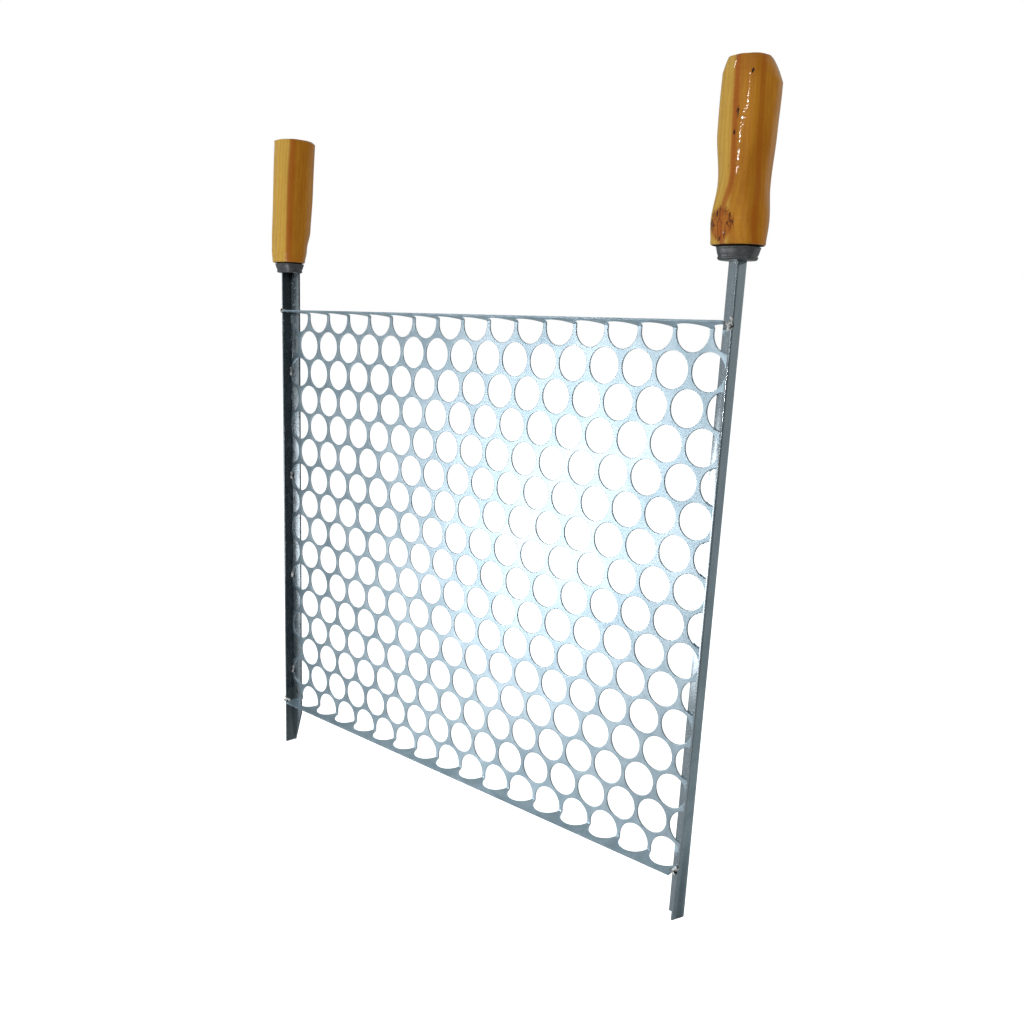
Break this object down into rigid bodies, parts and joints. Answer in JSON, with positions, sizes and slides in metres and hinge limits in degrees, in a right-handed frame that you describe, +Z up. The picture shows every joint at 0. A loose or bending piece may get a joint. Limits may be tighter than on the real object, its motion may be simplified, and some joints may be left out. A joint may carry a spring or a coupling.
{
  "type": "barbecue grate",
  "caption": "Flat perforated grate with two folded lips, welded between angle-steel side rails that stand on their tips and end in wooden hand grips.",
  "frame": {"origin": "midway between the two rails, at the height of the lower foot tip, in the plane of the grips' axes", "axes": "+X across the grate, +Y towards its back, +Z up from the foot tips to the grips"},
  "size_m": [0.4798, 0.032, 0.5555],
  "materials": {
    "plated_sheet": "bright zinc plating over punched sheet",
    "plated_steel": "dull blue-grey zinc plating",
    "ferrule_plastic": "mid-grey moulded plastic, half matt",
    "varnished_pine": "glossy clear varnish over golden pine",
    "weld_metal": "rough plated weld bead"
  },
  "bodies": {
    "root": {"perforated_sheet": "plated_sheet", "left_rail": "plated_steel", "right_rail": "plated_steel", "left_ferrule": "ferrule_plastic", "right_ferrule": "ferrule_plastic", "left_handle": "varnished_pine", "right_handle": "varnished_pine", "top_left_weld": "weld_metal", "top_right_weld": "weld_metal", "bottom_left_weld": "weld_metal", "bottom_right_weld": "weld_metal", "left_tack_welds": "weld_metal", "right_tack_welds": "weld_metal"}
  },
  "joints": []
}
